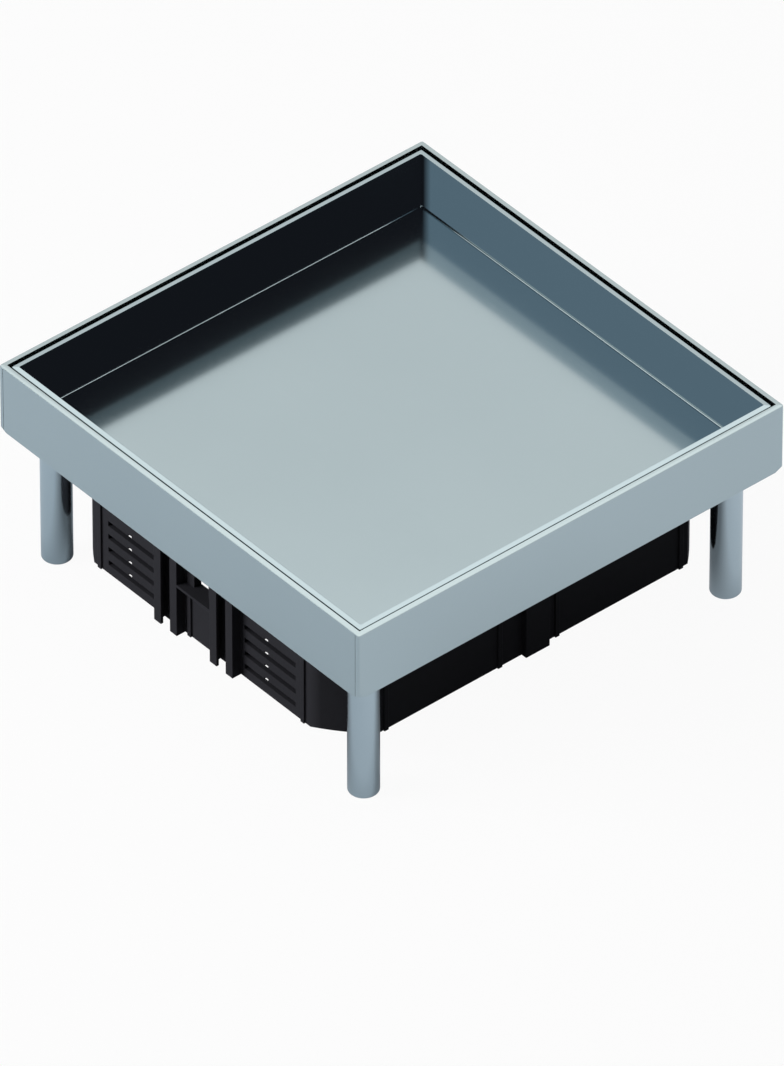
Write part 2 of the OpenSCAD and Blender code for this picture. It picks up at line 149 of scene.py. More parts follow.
def combined(tree, first, second, operation="ADD"):
    node = tree.nodes.new("ShaderNodeMath")
    node.operation = operation
    tree.links.new(first, node.inputs[0])
    tree.links.new(second, node.inputs[1])
    return node.outputs[0]


def tinted(tree, factor, dark, light):
    node = tree.nodes.new("ShaderNodeMix")
    node.data_type = "RGBA"
    node.inputs["A"].default_value = (*dark, 1)
    node.inputs["B"].default_value = (*light, 1)
    tree.links.new(factor, node.inputs["Factor"])
    return node.outputs["Result"]


def bumped(tree, shader, height, strength, distance):
    node = addNode(tree, "ShaderNodeBump", Strength=strength, Distance=distance * mm)
    tree.links.new(height, node.inputs["Height"])
    tree.links.new(node.outputs["Normal"], shader.inputs["Normal"])


def mixedShader(tree, share, first, second):
    mix = tree.nodes.new("ShaderNodeMixShader")
    tree.links.new(share, mix.inputs["Fac"])
    tree.links.new(first.outputs[0], mix.inputs[1])
    tree.links.new(second.outputs[0], mix.inputs[2])
    return mix


# Steel sheet and tube: fine grain, faint clouding and a few hair scratches
steelSets = {
    "satinFrame": {"dark": (0.415, 0.49, 0.5), "light": (0.435, 0.51, 0.52), "rough": (0.17, 0.21),
                   "grain": (1, 1, 1), "bump": 0.004},
    "satinTray": {"dark": (0.4, 0.48, 0.5), "light": (0.415, 0.495, 0.515), "rough": (0.13, 0.15),
                  "grain": (1, 1, 1), "bump": 0.003},
    "drawnTube": {"dark": (0.42, 0.5, 0.53), "light": (0.46, 0.54, 0.57), "rough": (0.14, 0.2),
                  "grain": (1, 1, 0.04), "bump": 0.05},
    "zincPlate": {"dark": (0.6, 0.61, 0.63), "light": (0.68, 0.69, 0.7), "rough": (0.24, 0.34),
                  "grain": (1, 1, 1), "bump": 0.05},
    "turnedBrass": {"dark": (0.62, 0.44, 0.18), "light": (0.7, 0.52, 0.24), "rough": (0.22, 0.32),
                    "grain": (1, 1, 6), "bump": 0.05},
}
steelGrain = {
    "clouds": 16, "grain": 2600, "uneven": (0.6, 1.4), "bumpDistance": 0.05,
    "scratch": 900, "scratchStretch": (0.03, 1, 1), "scratchFrom": (0.66, 0.74), "scratchRough": 0.06,
}


def steelMaterial(name):
    s, g = steelSets[name], steelGrain
    material, tree, shader = newMaterial(name)
    clouds = noise(tree, objectCoords(tree), g["clouds"], detail=3)
    grain = noise(tree, objectCoords(tree, s["grain"]), g["grain"], detail=1)
    hairs = noise(tree, objectCoords(tree, g["scratchStretch"]), g["scratch"], detail=2, roughness=0.7)
    scratches = ranged(tree, hairs, *g["scratchFrom"], 0, g["scratchRough"])
    tree.links.new(tinted(tree, clouds, s["dark"], s["light"]), shader.inputs["Base Color"])
    shader.inputs["Metallic"].default_value = 1
    uneven = ranged(tree, combined(tree, clouds, grain), *g["uneven"], *s["rough"])
    tree.links.new(combined(tree, uneven, scratches), shader.inputs["Roughness"])
    bumped(tree, shader, combined(tree, grain, scratches, "SUBTRACT"), s["bump"], g["bumpDistance"])
    return material


# Black moulding, foot plastic and rubber: spark-eroded grain, slightly uneven gloss
plasticSets = {
    "blackPlastic": {"dark": (0.0145, 0.0145, 0.017), "light": (0.0185, 0.0185, 0.0215),
                     "rough": (0.4, 0.5), "specular": 0.02, "bump": 0.06},
    "footPlastic": {"dark": (0.012, 0.0125, 0.014), "light": (0.02, 0.0205, 0.023),
                    "rough": (0.5, 0.6), "specular": 0.35, "bump": 0.12},
    "sealRubber": {"dark": (0.01, 0.01, 0.01), "light": (0.02, 0.02, 0.02),
                   "rough": (0.7, 0.85), "specular": 0.25, "bump": 0.2},
}
plasticGrain = {"clouds": 30, "grain": 1900, "uneven": (0.6, 1.4), "bumpDistance": 0.06}


def plasticMaterial(name):
    s, g = plasticSets[name], plasticGrain
    material, tree, shader = newMaterial(name)
    plain = objectCoords(tree)
    clouds = noise(tree, plain, g["clouds"], detail=3)
    grain = noise(tree, plain, g["grain"], detail=2, roughness=0.6)
    tree.links.new(tinted(tree, clouds, s["dark"], s["light"]), shader.inputs["Base Color"])
    uneven = ranged(tree, combined(tree, clouds, grain), *g["uneven"], *s["rough"])
    tree.links.new(uneven, shader.inputs["Roughness"])
    shader.inputs["Specular IOR Level"].default_value = s["specular"]
    bumped(tree, shader, grain, s["bump"], g["bumpDistance"])
    return material


# Zinc-coated sheet: spangles of a few millimetres
zincSheetSet = {
    "dark": (0.52, 0.54, 0.56), "light": (0.68, 0.7, 0.72), "rough": (0.28, 0.42),
    "spangle": 170, "grain": 2200, "bump": 0.06, "bumpDistance": 0.04,
}


def zincSheetMaterial():
    s = zincSheetSet
    material, tree, shader = newMaterial("zincSheet")
    plain = objectCoords(tree)
    spangle = addNode(tree, "ShaderNodeTexVoronoi", Scale=s["spangle"])
    tree.links.new(plain, spangle.inputs["Vector"])
    cells = tree.nodes.new("ShaderNodeSeparateColor")
    tree.links.new(spangle.outputs["Color"], cells.inputs["Color"])
    grain = noise(tree, plain, s["grain"], detail=1)
    tree.links.new(tinted(tree, cells.outputs["Red"], s["dark"], s["light"]), shader.inputs["Base Color"])
    shader.inputs["Metallic"].default_value = 1
    tree.links.new(ranged(tree, cells.outputs["Green"], 0, 1, *s["rough"]), shader.inputs["Roughness"])
    bumped(tree, shader, combined(tree, grain, cells.outputs["Blue"]), s["bump"], s["bumpDistance"])
    return material


materials = {name: steelMaterial(name) for name in steelSets}
materials.update({name: plasticMaterial(name) for name in plasticSets})
materials["zincSheet"] = zincSheetMaterial()
print("materials made")


# Mesh helpers. Everything is modelled in millimetres and scaled at the end.
near, weld = 1e-3, 1e-4  # the same height or side, and the same corner
crease = math.radians(35)


def vertsIn(geom):
    return [g for g in geom if isinstance(g, bmesh.types.BMVert)]


def edgesIn(geom):
    return [g for g in geom if isinstance(g, bmesh.types.BMEdge)]


def edgesOf(verts):
    return list({e for v in verts for e in v.link_edges})


def upright(edge):
    a, b = (v.co for v in edge.verts)
    return abs(a.x - b.x) < weld and abs(a.y - b.y) < weld


def edgesAt(bm, height):
    return [e for e in bm.edges if all(abs(v.co.z - height) < near for v in e.verts)]


def facesAt(bm, height):
    return [f for f in bm.faces if all(abs(v.co.z - height) < near for v in f.verts)]


def openLoops(bm, height):
    return [e for e in edgesAt(bm, height) if e.is_boundary]


def largest(faces):
    return max(faces, key=lambda f: f.calc_area())


def closeEnd(bm, height):
    bmesh.ops.holes_fill(bm, edges=openLoops(bm, height), sides=0)


def sliceOff(bm, place, facing):
    geom = bm.verts[:] + bm.edges[:] + bm.faces[:]
    cut = bmesh.ops.bisect_plane(bm, geom=geom, plane_co=place, plane_no=facing, clear_outer=True)
    return edgesIn(cut["geom_cut"])


def roundEdges(bm, edges, radius, segments):
    bmesh.ops.bevel(bm, geom=edges, offset=radius, offset_type="OFFSET", segments=segments, profile=0.5,
                    affect="EDGES", material=-1, clamp_overlap=False)


def softBlock(bm, half, bottom, top, corner, below, above, segments):
    made = bmesh.ops.create_cube(bm, size=1)["verts"]
    bmesh.ops.scale(bm, verts=made, vec=(2 * half, 2 * half, top - bottom))
    bmesh.ops.translate(bm, verts=made, vec=(0, 0, (top + bottom) / 2))
    roundEdges(bm, [e for e in edgesOf(made) if upright(e)], corner, segments)
    for height, radius in ((bottom, below), (top, above)):
        if radius:
            roundEdges(bm, edgesAt(bm, height), radius, segments)


def arcProfile(centre, radius, start, end, steps):
    turn = [math.radians(start + (end - start) * i / steps) for i in range(steps + 1)]
    return [(centre[0] + radius * math.cos(a), centre[1] + radius * math.sin(a)) for a in turn]


def spunPiece(bm, profile, centre, steps):
    corners = [bm.verts.new((centre[0] + r, centre[1], z)) for r, z in profile]
    rim = [bm.edges.new(pair) for pair in zip(corners, corners[1:])]
    if profile[0][0] > 0:  # a ring: its profile closes
        rim.append(bm.edges.new((corners[-1], corners[0])))
    bmesh.ops.spin(bm, geom=corners + rim, cent=(*centre, 0), axis=(0, 0, 1), angle=2 * math.pi,
                   steps=steps, use_merge=True)


def copiesAt(bm, part, centres):
    mesh = bpy.data.meshes.new("part")
    part.to_mesh(mesh)
    part.free()
    for x, y in centres:
        before = len(bm.verts)
        bm.from_mesh(mesh)
        bm.verts.ensure_lookup_table()
        bmesh.ops.translate(bm, verts=bm.verts[before:], vec=(x, y, 0))
    bpy.data.meshes.remove(mesh)


def repeated(part, centres):
    bm = bmesh.new()
    copiesAt(bm, part, centres)
    return bm


def cadCopy(node):
    bm = bmesh.new()
    bm.from_mesh(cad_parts[node].data)
    bmesh.ops.scale(bm, verts=bm.verts, vec=(1 / mm, 1 / mm, 1 / mm))
    bmesh.ops.remove_doubles(bm, verts=bm.verts, dist=near)
    bmesh.ops.dissolve_limit(bm, angle_limit=math.radians(0.5), verts=bm.verts, edges=bm.edges)
    return bm


def finishPiece(name, bm, body, nodes, material, brokenEdge=0):
    bmesh.ops.remove_doubles(bm, verts=bm.verts, dist=weld)
    bmesh.ops.recalc_face_normals(bm, faces=bm.faces)
    print(name, "modelled, open edges", sum(not e.is_manifold for e in bm.edges))
    bmesh.ops.scale(bm, verts=bm.verts, vec=(mm, mm, mm))
    mesh = bpy.data.meshes.new(name)
    bm.to_mesh(mesh)
    bm.free()
    piece = bpy.data.objects.new(name, mesh)
    scene.collection.objects.link(piece)
    for face in mesh.polygons:
        face.use_smooth = True
    mesh.set_sharp_from_angle(angle=crease)
    mesh.materials.append(materials[material])
    if brokenEdge:
        bevel = piece.modifiers.new("edgeBreak", "BEVEL")
        bevel.width, bevel.segments = brokenEdge * mm, 2
        bevel.limit_method, bevel.angle_limit = "ANGLE", crease
    weighted = piece.modifiers.new("evenShading", "WEIGHTED_NORMAL")
    weighted.keep_sharp = True
    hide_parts(*nodes)
    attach(piece, body)
    return piece


# Frame: upright wall on a ledge, with a gusseted opening, key holes, seams and clipped lower corners
frameSet = {
    "wall": 2.5, "corner": 1.0, "edge": 0.4, "fold": 0.5, "segments": 6, "clipHeight": 2.3,
    "clipLength": 5.0, "opening": (86, 96), "gusset": 22, "keyHole": 3.0, "rimSlope": 0.12,
    "seam": {"from": 2.5, "half": 0.12, "deep": 0.5}, "brokenEdge": 0.2,
}


def clipCorners(bm, s):
    back = s["clipLength"] / math.sqrt(2)
    for sx, sy in signs.values():
        out = Vector((sx, sy, 0)).normalized()
        foot = out * (frameHalf * math.sqrt(2) - back) + Vector((0, 0, frameBottom))
        facing = (out * s["clipHeight"] - Vector((0, 0, back))).normalized()
        bmesh.ops.edgeloop_fill(bm, edges=sliceOff(bm, foot, facing))


# The opening's and the key holes' outlines are drawn at height 0, set at the frame's bottom and raised
def holeWalls(bm, s):
    made = bmesh.ops.create_grid(bm, x_segments=1, y_segments=1, size=1)["verts"]
    bmesh.ops.scale(bm, verts=made, vec=(*s["opening"], 1))
    bmesh.ops.bevel(bm, geom=made, offset=s["gusset"], offset_type="OFFSET", segments=1, profile=0.5,
                    affect="VERTICES", material=-1)
    plate = [f for f in facesAt(bm, 0) if len(f.verts) == 8]
    bmesh.ops.delete(bm, geom=plate, context="FACES_ONLY")
    rims = edgesAt(bm, 0)
    for sx, sy in signs.values():
        place = Matrix.Translation((sx * legCentre, sy * legCentre, 0))
        circle = bmesh.ops.create_circle(bm, segments=32, radius=s["keyHole"], matrix=place)["verts"]
        rims += edgesOf(circle)
    verts = list({v for e in rims for v in e.verts})
    bmesh.ops.translate(bm, verts=verts, vec=(0, 0, frameBottom))
    wall = bmesh.ops.extrude_edge_only(bm, edges=rims)["geom"]
    bmesh.ops.translate(bm, verts=vertsIn(wall), vec=(0, 0, ledgeTop - frameBottom))


def cutSeams(bm, seam):
    def endFaces():
        return [f for f in bm.faces if all(abs(v.co.y) > frameHalf - near for v in f.verts)]

    def inStrip(face, middle):
        return all(abs(v.co.x - middle) < seam["half"] + near for v in face.verts)

    for side in (-1, 1):
        middle = side * (frameHalf - seam["from"])
        for shift in (-seam["half"], seam["half"]):
            faces = endFaces()
            verts = list({v for f in faces for v in f.verts})
            edges = list({e for f in faces for e in f.edges})
            bmesh.ops.bisect_plane(bm, geom=verts + edges + faces, plane_co=(middle + shift, 0, 0),
                                   plane_no=(1, 0, 0))
        for strip in [f for f in endFaces() if abs(f.normal.y) > 0.99 and inStrip(f, middle)]:
            sunk = vertsIn(bmesh.ops.extrude_face_region(bm, geom=[strip])["geom"])
            inward = -math.copysign(seam["deep"], sunk[0].co.y)
            bmesh.ops.translate(bm, verts=sunk, vec=(0, inward, 0))
            bmesh.ops.delete(bm, geom=[strip], context="FACES_ONLY")


def slopeRim(bm, inner, top, slope):
    for v in bm.verts:  # the rim falls slightly towards the outside
        out = max(abs(v.co.x), abs(v.co.y)) - inner
        if v.co.z > top - 1 and out > 0:
            v.co.z -= slope * out


def buildFrame():
    s = frameSet
    bm = bmesh.new()
    softBlock(bm, frameHalf, frameBottom, frameTop, s["corner"], s["fold"], s["edge"], s["segments"])
    clipCorners(bm, s)
    inner = frameHalf - s["wall"]
    top = largest(facesAt(bm, frameTop))
    bmesh.ops.inset_region(bm, faces=[top], thickness=s["wall"] - s["edge"], use_even_offset=True)
    for v in top.verts:  # the recess has sharp corners
        if min(abs(v.co.x), abs(v.co.y)) > inner - 2:
            v.co.x, v.co.y = math.copysign(inner, v.co.x), math.copysign(inner, v.co.y)
    bmesh.ops.remove_doubles(bm, verts=bm.verts, dist=weld)
    top = largest(facesAt(bm, frameTop))
    floor = bmesh.ops.extrude_discrete_faces(bm, faces=[top])["faces"][0]
    bmesh.ops.translate(bm, verts=floor.verts, vec=(0, 0, ledgeTop - frameTop))
    under = largest(facesAt(bm, frameBottom))
    bmesh.ops.delete(bm, geom=[floor, under], context="FACES_ONLY")
    holeWalls(bm, s)
    for height, facing in ((frameBottom, (0, 0, -1)), (ledgeTop, (0, 0, 1))):
        bmesh.ops.triangle_fill(bm, edges=openLoops(bm, height), use_beauty=True, normal=facing)
    cutSeams(bm, s["seam"])
    slopeRim(bm, inner, frameTop, s["rimSlope"])
    return bm


finishPiece("foldedFrame", buildFrame(), "housing", ["frame"], "satinFrame",
            frameSet["brokenEdge"])


# Lid tray: folded pan with a doubled rim
traySet = {
    "sheet": 1.2, "rimWidth": 2.4, "rimHeight": 10, "rimEdge": 0.4, "rimCorner": 0.8, "rimSlope": 0.12,
    "fold": 0.5, "corner": 0.6, "segments": 6, "brokenEdge": 0.15,
}
trayInside = rimHalf - traySet["rimWidth"]
trayFloor = trayBottom + traySet["sheet"]


def buildTray():
    s = traySet
    n = s["segments"]
    outside = trayInside + s["sheet"]
    step = trayTop - s["rimHeight"]
    bm = bmesh.new()
    softBlock(bm, trayInside, trayFloor, trayTop, s["corner"], s["fold"], 0, n)
    bmesh.ops.delete(bm, geom=facesAt(bm, trayTop), context="FACES_ONLY")
    outer = bmesh.new()
    softBlock(outer, outside, trayBottom, step, s["corner"] + s["sheet"], s["fold"] + s["sheet"], 0, n)
    bmesh.ops.delete(outer, geom=facesAt(outer, step), context="FACES_ONLY")
    rim = bmesh.new()
    softBlock(rim, rimHalf, step, trayTop, s["rimCorner"], 0, s["rimEdge"], n)
    bmesh.ops.delete(rim, geom=facesAt(rim, trayTop) + facesAt(rim, step), context="FACES_ONLY")
    for part in (outer, rim):
        copiesAt(bm, part, [(0, 0)])
    for height in (trayTop, step):
        bmesh.ops.bridge_loops(bm, edges=openLoops(bm, height))
    slopeRim(bm, trayInside, trayTop, s["rimSlope"])
    return bm


finishPiece("trayPan", buildTray(), "housing", ["lid_tray"], "satinTray",
            traySet["brokenEdge"])


# Legs: drawn tube, rounded at its lower end, with a weld bead under the ledge
legSet = {
    "wall": 2.0, "endRound": 0.8, "innerEdge": 0.3,
    "bead": ((1.0, 0), (0.35, 0.45), (0, 1.2)),  # how far out and how far down
}


def buildLeg(centre):
    s = legSet
    bore = legRadius - s["wall"]
    bead = [(legRadius + out, frameBottom - down) for out, down in s["bead"]]
    end = arcProfile((legRadius - s["endRound"], s["endRound"]), s["endRound"], 0, -90, steps=5)
    inside = [(bore + s["innerEdge"], 0), (bore, s["innerEdge"]), (bore, frameBottom)]
    bm = bmesh.new()
    spunPiece(bm, bead + end + inside, centre, steps=72)
    return bm


for corner, (sx, sy) in signs.items():
    finishPiece("legTube_" + corner, buildLeg((sx * legCentre, sy * legCentre)), "housing",
                ["leg_" + corner], "drawnTube")
print("legs modelled")


# Carrier: the moulding itself, with its edges broken
carrierSet = {"brokenEdge": 0.2}
finishPiece("carrierMoulding", cadCopy("carrier"), "housing", ["carrier"], "blackPlastic",
            carrierSet["brokenEdge"])


# Small parts: threads, nuts, washers and screws, each made once on its own axis and then set in place
def threadedRod(radius, pitch, deep, bottom, top, chamfer, steps):
    part = bmesh.new()
    turns = math.ceil((top - bottom) / pitch) + 2
    start = bottom - pitch
    tooth = [(radius - deep, 0), (radius, 0.42), (radius, 0.58), (radius - deep, 1)]  # heights in pitches
    verts = [part.verts.new((r, 0, start + share * pitch)) for r, share in tooth]
    edges = [part.edges.new(pair) for pair in zip(verts, verts[1:])]
    bmesh.ops.spin(part, geom=verts + edges, cent=(0, 0, 0), axis=(0, 0, 1), dvec=(0, 0, pitch / steps),
                   angle=2 * math.pi * turns, steps=steps * turns, use_merge=False)
    bmesh.ops.remove_doubles(part, verts=part.verts, dist=near)
    sliceOff(part, (0, 0, bottom), (0, 0, -1))
    sliceOff(part, (0, 0, top), (0, 0, 1))
    ends = openLoops(part, bottom) + openLoops(part, top)
    bmesh.ops.dissolve_degenerate(part, edges=ends, dist=near)
    closeEnd(part, bottom)
    for v in part.verts:  # chamfer the upper end
        allowed = radius - max(0, v.co.z - top + chamfer)
        across = math.hypot(v.co.x, v.co.y)
        if across > allowed:
            v.co.x, v.co.y = v.co.x * allowed / across, v.co.y * allowed / across
    return part


def ringPart(outer, bore, bottom, top, edge):
    part = bmesh.new()
    profile = [(bore + edge, bottom), (outer - edge, bottom), (outer, bottom + edge), (outer, top - edge),
               (outer - edge, top), (bore + edge, top), (bore, top - edge), (bore, bottom + edge)]
    spunPiece(part, profile, (0, 0), steps=40)
    return part


def hexNut(corner, bore, bottom, top, edge=0.3):
    part = bmesh.new()
    flat = corner * math.cos(math.radians(30))
    slope = (corner - flat) * 0.6
    profile = [(bore + edge, bottom), (flat, bottom), (corner, bottom + slope), (corner, top - slope),
               (flat, top), (bore + edge, top), (bore, top - edge), (bore, bottom + edge)]
    spunPiece(part, profile, (0, 0), steps=60)
    bmesh.ops.remove_doubles(part, verts=part.verts, dist=weld)
    for turn in range(30, 390, 60):
        out = Vector((math.cos(math.radians(turn)), math.sin(math.radians(turn)), 0))
        bmesh.ops.edgeloop_fill(part, edges=sliceOff(part, out * flat, out))
    return part


def socketTop(part, across, deep, top):
    place = Matrix.Translation((0, 0, top))
    ring = bmesh.ops.create_circle(part, segments=6, radius=across / 2, matrix=place)["verts"]
    walls = bmesh.ops.extrude_edge_only(part, edges=edgesOf(ring))["geom"]
    bmesh.ops.translate(part, verts=vertsIn(walls), vec=(0, 0, -deep))
    closeEnd(part, top - deep)
    bmesh.ops.bridge_loops(part, edges=openLoops(part, top))


def crossTop(part, slot, top):
    made = bmesh.ops.create_grid(part, x_segments=3, y_segments=3, size=1)["verts"]
    for v in made:  # the grid's lines become the sides of the cross
        for axis in (0, 1):
            reach = slot["length"] / 2 if abs(v.co[axis]) > 0.9 else slot["width"] / 2
            v.co[axis] = math.copysign(reach, v.co[axis])
    bmesh.ops.translate(part, verts=made, vec=(0, 0, top))
    made = set(made)

    def ownFaces():
        return [f for f in part.faces if set(f.verts) <= made]

    def outsideCross(face):
        middle = face.calc_center_median()
        return min(abs(middle.x), abs(middle.y)) > slot["width"] / 2

    bmesh.ops.delete(part, geom=[f for f in ownFaces() if outsideCross(f)], context="FACES")
    cross = ownFaces()
    sunk = vertsIn(bmesh.ops.extrude_face_region(part, geom=cross)["geom"])
    bmesh.ops.delete(part, geom=[f for f in cross if f.is_valid], context="FACES")
    bmesh.ops.translate(part, verts=sunk, vec=(0, 0, -slot["deep"]))
    bmesh.ops.scale(part, verts=sunk, vec=(slot["taper"], slot["taper"], 1))
    bmesh.ops.bridge_loops(part, edges=openLoops(part, top))


# Levelling spindles: threaded, with a hexagon socket above and a plain neck that turns in the foot
spindleSet = {
    "pitch": 1.25, "deep": 0.62, "chamfer": 0.6, "socket": 4.6, "socketDeep": 5,
    "neck": 2.0, "neckLength": 2, "neckEdge": 0.2, "neckSunk": 0.4,
}


def buildSpindle(node):
    s = spindleSet
    radius = (high(node).x - low(node).x) / 2
    bottom, top = zSpan(node)
    shoulder = bottom + s["neckLength"]
    part = threadedRod(radius, s["pitch"], s["deep"], shoulder, top, s["chamfer"], steps=24)
    socketTop(part, s["socket"], s["socketDeep"], top)
    neck = bmesh.new()
    profile = [(0, bottom), (s["neck"] - s["neckEdge"], bottom), (s["neck"], bottom + s["neckEdge"]),
               (s["neck"], shoulder + s["neckSunk"]), (0, shoulder + s["neckSunk"])]
    spunPiece(neck, profile, (0, 0), steps=32)
    copiesAt(part, neck, [(0, 0)])
    return repeated(part, oneCentre(node))


# Feet: plastic caps with two grooves in the sole
footSet = {
    "edge": 0.4, "bore": 2.05, "boreFloor": 1.0, "boreEdge": 0.15, "lip": 0.25,
    "grooves": (1.5, 3.2), "grooveWidth": 0.5, "grooveDeep": 0.3, "grooveSlope": 0.1,
}


def buildFoot(node):
    s = footSet
    radius = (high(node).x - low(node).x) / 2
    top = high(node).z
    deep, width, slope = s["grooveDeep"], s["grooveWidth"], s["grooveSlope"]
    sole = [(0, 0)]
    for r in s["grooves"]:
        sole += [(r, 0), (r + slope, deep), (r + width, deep), (r + width + slope, 0)]
    side = arcProfile((radius - s["edge"], s["edge"]), s["edge"], -90, 0, steps=4)
    upper = [(radius, top - s["lip"]), (radius - s["lip"], top), (s["bore"] + s["boreEdge"], top),
             (s["bore"], top - s["boreEdge"]), (s["bore"], s["boreFloor"]), (0, s["boreFloor"])]
    part = bmesh.new()
    spunPiece(part, sole + side + upper, (0, 0), steps=48)
    return repeated(part, oneCentre(node))


for corner in signs:
    spindle, foot = buildSpindle("spindle_" + corner), buildFoot("foot_" + corner)
    finishPiece("threadedSpindle_" + corner, spindle, "spindle_" + corner, ["spindle_" + corner],
                "zincPlate")
    finishPiece("footPad_" + corner, foot, "foot_" + corner, ["foot_" + corner],
                "footPlastic")


# Support screws: domed head with a cross slot
supportScrewSet = {
    "head": 3.0, "headHeight": 2.0, "headEdge": 0.15, "dome": 1.1, "shank": 1.5, "shankSunk": 0.2,
    "pitch": 0.5, "deep": 0.28, "slot": {"length": 3.0, "width": 0.8, "deep": 1.0, "taper": 0.72},
}


def buildScrews():
    s = supportScrewSet
    bottom, top = zSpan("support_screws")
    seat = top - s["headHeight"]
    head = bmesh.new()
    crown = arcProfile((s["head"] - s["dome"], top - s["dome"]), s["dome"], 0, 90, steps=6)
    brim = [(0, seat), (s["head"] - s["headEdge"], seat), (s["head"], seat + s["headEdge"])]
    spunPiece(head, brim + crown, (0, 0), steps=40)
    bmesh.ops.remove_doubles(head, verts=head.verts, dist=weld)
    crossTop(head, s["slot"], top)
    shankTop = seat + s["shankSunk"]
    shank = threadedRod(s["shank"], s["pitch"], s["deep"], bottom, shankTop, 0, steps=16)
    closeEnd(shank, shankTop)
    copiesAt(head, shank, [(0, 0)])
    return repeated(head, fourCentres("support_screws", s["head"]))


# Carrier fixings and earth connection: radii of studs, washers, bores and nut corners
fixingSet = {"stud": 2.0, "pitch": 0.7, "washer": 4.5, "washerBore": 2.25, "nut": 4.0, "nutBore": 2.02}
earthSet = {"pitch": 0.8, "washer": 5.0, "washerBore": 2.75, "washerHeight": 1.0,
            "nut": 4.6, "nutBore": 2.52}
threadShare = 0.61  # depth of a stud's thread in pitches
washerEdge = 0.12


def buildStuds(node, s, centres):
    radius = high(node).x - max(x for x, y in centres)
    bottom, top = zSpan(node)
    part = threadedRod(radius, s["pitch"], threadShare * s["pitch"], bottom, top, 0, steps=24)
    closeEnd(part, top)
    return repeated(part, centres)


def buildWashers(s, spans, centres):
    bm = bmesh.new()
    for span in spans:
        copiesAt(bm, ringPart(s["washer"], s["washerBore"], *span, washerEdge), centres)
    return bm


def buildNuts(node, s, centres):
    return repeated(hexNut(s["nut"], s["nutBore"], *zSpan(node)), centres)


# Threaded bushes in the legs' lower ends, as smooth rings
bushRingSet = {"bore": 4.05, "edge": 0.3}


def buildBushes(node):
    s = bushRingSet
    radius = high(node).x - legCentre
    return repeated(ringPart(radius, s["bore"], *zSpan(node), s["edge"]), fourCentres(node, radius))


fixings = fourCentres("fixing_studs", fixingSet["stud"])
fixingSpans = [zSpan("fixing_washers")]
earth = oneCentre("earth_stud")
earthLow, earthHigh = zSpan("earth_washers")
thick = earthSet["washerHeight"]
earthSpans = [(earthHigh - thick, earthHigh), (earthLow, earthLow + thick)]
smallParts = {
    "fixing_studs": ("studSet", buildStuds("fixing_studs", fixingSet, fixings), "zincPlate"),
    "fixing_washers": ("washerSet", buildWashers(fixingSet, fixingSpans, fixings), "zincPlate"),
    "fixing_nuts": ("nutSet", buildNuts("fixing_nuts", fixingSet, fixings), "zincPlate"),
    "support_screws": ("screwSet", buildScrews(), "zincPlate"),
    "leg_bushes": ("bushSet", buildBushes("leg_bushes"), "turnedBrass"),
    "earth_stud": ("earthRod", buildStuds("earth_stud", earthSet, earth), "turnedBrass"),
    "earth_washers": ("earthRings", buildWashers(earthSet, earthSpans, earth), "turnedBrass"),
    "earth_nut": ("earthHex", buildNuts("earth_nut", earthSet, earth), "turnedBrass"),
}
for node, (name, bm, material) in smallParts.items():
    finishPiece(name, bm, "housing", [node], material)


# Device supports: sheet strips with rounded bends
supportSet = {"bend": 2.2, "innerBend": 0.7, "sheet": 1.5, "longEdge": 100, "brokenEdge": 0.15}


def buildSupport(node):
    s = supportSet
    bm = cadCopy(node)
    left, right, top = low(node).x, high(node).x, high(node).z

    def atBend(vert, inset):
        side = min(abs(vert.co.x - left - inset), abs(vert.co.x - right + inset))
        return max(side, abs(vert.co.z - top + inset)) < 10 * near

    def bends(inset):
        return [e for e in bm.edges if e.calc_length() > s["longEdge"]
                and all(atBend(v, inset) for v in e.verts)]

    roundEdges(bm, bends(0), s["bend"], segments=6)
    roundEdges(bm, bends(s["sheet"]), s["innerBend"], segments=5)
    return bm


for side in ("left", "right"):
    finishPiece("supportStrip_" + side, buildSupport("device_support_" + side), "housing",
                ["device_support_" + side], "zincSheet", supportSet["brokenEdge"])
print("supports modelled")

# The seal keeps its solid
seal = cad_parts["tray_seal"].data
seal.materials.clear()
seal.materials.append(materials["sealRubber"])


# Studio: white surround, pale floor, soft lamps for the matt surfaces and cards that only gloss sees
def seenRays(tree, strengths):
    path = tree.nodes.new("ShaderNodeLightPath")
    total = None
    for kind, strength in strengths.items():
        level = ranged(tree, path.outputs[kind], 0, 1, 0, strength)
        total = combined(tree, total, level, "MAXIMUM") if total else level
    return total


worldSet = {"fill": 0.04}


def lightWorld():
    world = bpy.data.worlds.new("studioWorld")
    scene.world = world
    world.use_nodes = True
    tree = world.node_tree
    background = tree.nodes["Background"]
    background.inputs["Color"].default_value = (1, 1, 1, 1)
    seen = seenRays(tree, {"Is Camera Ray": 1, "Is Glossy Ray": 1, "Is Transmission Ray": 1})
    tree.links.new(ranged(tree, seen, 0, 1, worldSet["fill"], 1), background.inputs["Strength"])


def stagePiece(name, bm):
    mesh = bpy.data.meshes.new(name)
    bm.to_mesh(mesh)
    bm.free()
    piece = bpy.data.objects.new(name, mesh)
    scene.collection.objects.link(piece)
    return piece


# Floor: takes the shadow, and the camera looks through the rest of it, so that feet let down below it
# still show. Gloss sees it in a painted reflection colour with a painted glow, more on the right, and
# with painted shade under the box.
floorSet = {
    "half": 6.0, "colour": (0.42, 0.42, 0.42), "rough": 0.9, "clear": 0.95,
    "glossTint": (0.511, 0.558, 0.614), "glossGlow": (0.97, 1.02, 1.1),
    "glowAcross": (-0.12, 0.3), "glowShare": (0.1, 0.69),
    "shadeReach": (0.12, 0.17), "shadeShare": 0.6,
}


